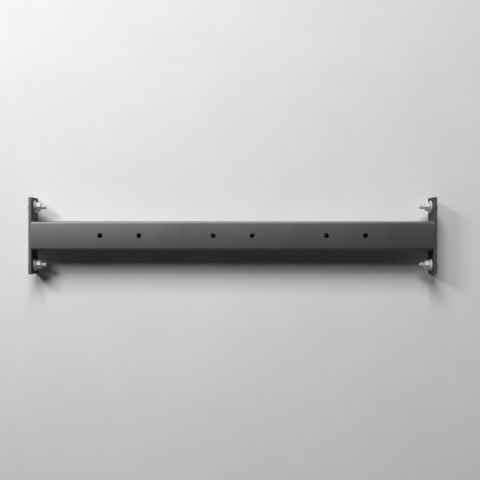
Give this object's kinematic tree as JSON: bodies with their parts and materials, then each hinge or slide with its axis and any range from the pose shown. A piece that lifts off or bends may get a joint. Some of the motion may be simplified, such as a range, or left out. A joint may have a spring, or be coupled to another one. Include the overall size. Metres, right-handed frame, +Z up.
{
  "type": "pull up bar",
  "caption": "Bolt-in steel crossbeam for pull-ups: a square box tube with paired cross holes, welded between flat end plates that bolt to a rack.",
  "frame": {"origin": "centre of the tube, midway between the end plates, which is the centre of the whole part's box", "axes": "+X along the tube to the viewer's right, -Y out of the front face, +Z up along the end plates"},
  "size_m": [1.0996, 0.075, 0.205],
  "materials": {
    "powder_coat": "satin charcoal powder coat",
    "zinc_plate": "bright zinc plate"
  },
  "bodies": {
    "frame": {"crossbeam_tube": "powder_coat", "end_plate_left": "powder_coat", "end_plate_right": "powder_coat", "weld_upper_left": "powder_coat", "weld_lower_left": "powder_coat", "weld_upper_right": "powder_coat", "weld_lower_right": "powder_coat", "hex_bolt_upper_left": "zinc_plate", "hex_bolt_lower_left": "zinc_plate", "hex_bolt_upper_right": "zinc_plate", "hex_bolt_lower_right": "zinc_plate"},
    "washers_upper_left": {"flat_washer_upper_left": "zinc_plate", "lock_washer_upper_left": "zinc_plate"},
    "washers_lower_left": {"flat_washer_lower_left": "zinc_plate", "lock_washer_lower_left": "zinc_plate"},
    "washers_upper_right": {"flat_washer_upper_right": "zinc_plate", "lock_washer_upper_right": "zinc_plate"},
    "washers_lower_right": {"flat_washer_lower_right": "zinc_plate", "lock_washer_lower_right": "zinc_plate"},
    "nut_upper_left": {"hex_nut_upper_left": "zinc_plate"},
    "nut_lower_left": {"hex_nut_lower_left": "zinc_plate"},
    "nut_upper_right": {"hex_nut_upper_right": "zinc_plate"},
    "nut_lower_right": {"hex_nut_lower_right": "zinc_plate"}
  },
  "joints": [
    {"name": "thread_travel_upper_left", "type": "slide", "parent": "frame", "child": "washers_upper_left", "axis": [1, 0, 0], "range_m": [0, 0.0245]},
    {"name": "nut_turn_upper_left", "type": "hinge", "parent": "washers_upper_left", "child": "nut_upper_left", "pos_m": [-0.534, 0, 0.078], "axis": [1, 0, 0], "range_deg": [0, 5040]},
    {"name": "thread_travel_lower_left", "type": "slide", "parent": "frame", "child": "washers_lower_left", "axis": [1, 0, 0], "range_m": [0, 0.0245]},
    {"name": "nut_turn_lower_left", "type": "hinge", "parent": "washers_lower_left", "child": "nut_lower_left", "pos_m": [-0.534, 0, -0.078], "axis": [1, 0, 0], "range_deg": [0, 5040]},
    {"name": "thread_travel_upper_right", "type": "slide", "parent": "frame", "child": "washers_upper_right", "axis": [-1, 0, 0], "range_m": [0, 0.0245]},
    {"name": "nut_turn_upper_right", "type": "hinge", "parent": "washers_upper_right", "child": "nut_upper_right", "pos_m": [0.534, 0, 0.078], "axis": [-1, 0, 0], "range_deg": [0, 5040]},
    {"name": "thread_travel_lower_right", "type": "slide", "parent": "frame", "child": "washers_lower_right", "axis": [-1, 0, 0], "range_m": [0, 0.0245]},
    {"name": "nut_turn_lower_right", "type": "hinge", "parent": "washers_lower_right", "child": "nut_lower_right", "pos_m": [0.534, 0, -0.078], "axis": [-1, 0, 0], "range_deg": [0, 5040]}
  ],
  "couplings": [
    {"joint": "nut_turn_upper_left", "follows": "thread_travel_upper_left", "rad_per_m": 3590.4},
    {"joint": "nut_turn_lower_left", "follows": "thread_travel_lower_left", "rad_per_m": 3590.4},
    {"joint": "nut_turn_upper_right", "follows": "thread_travel_upper_right", "rad_per_m": 3590.4},
    {"joint": "nut_turn_lower_right", "follows": "thread_travel_lower_right", "rad_per_m": 3590.4}
  ]
}
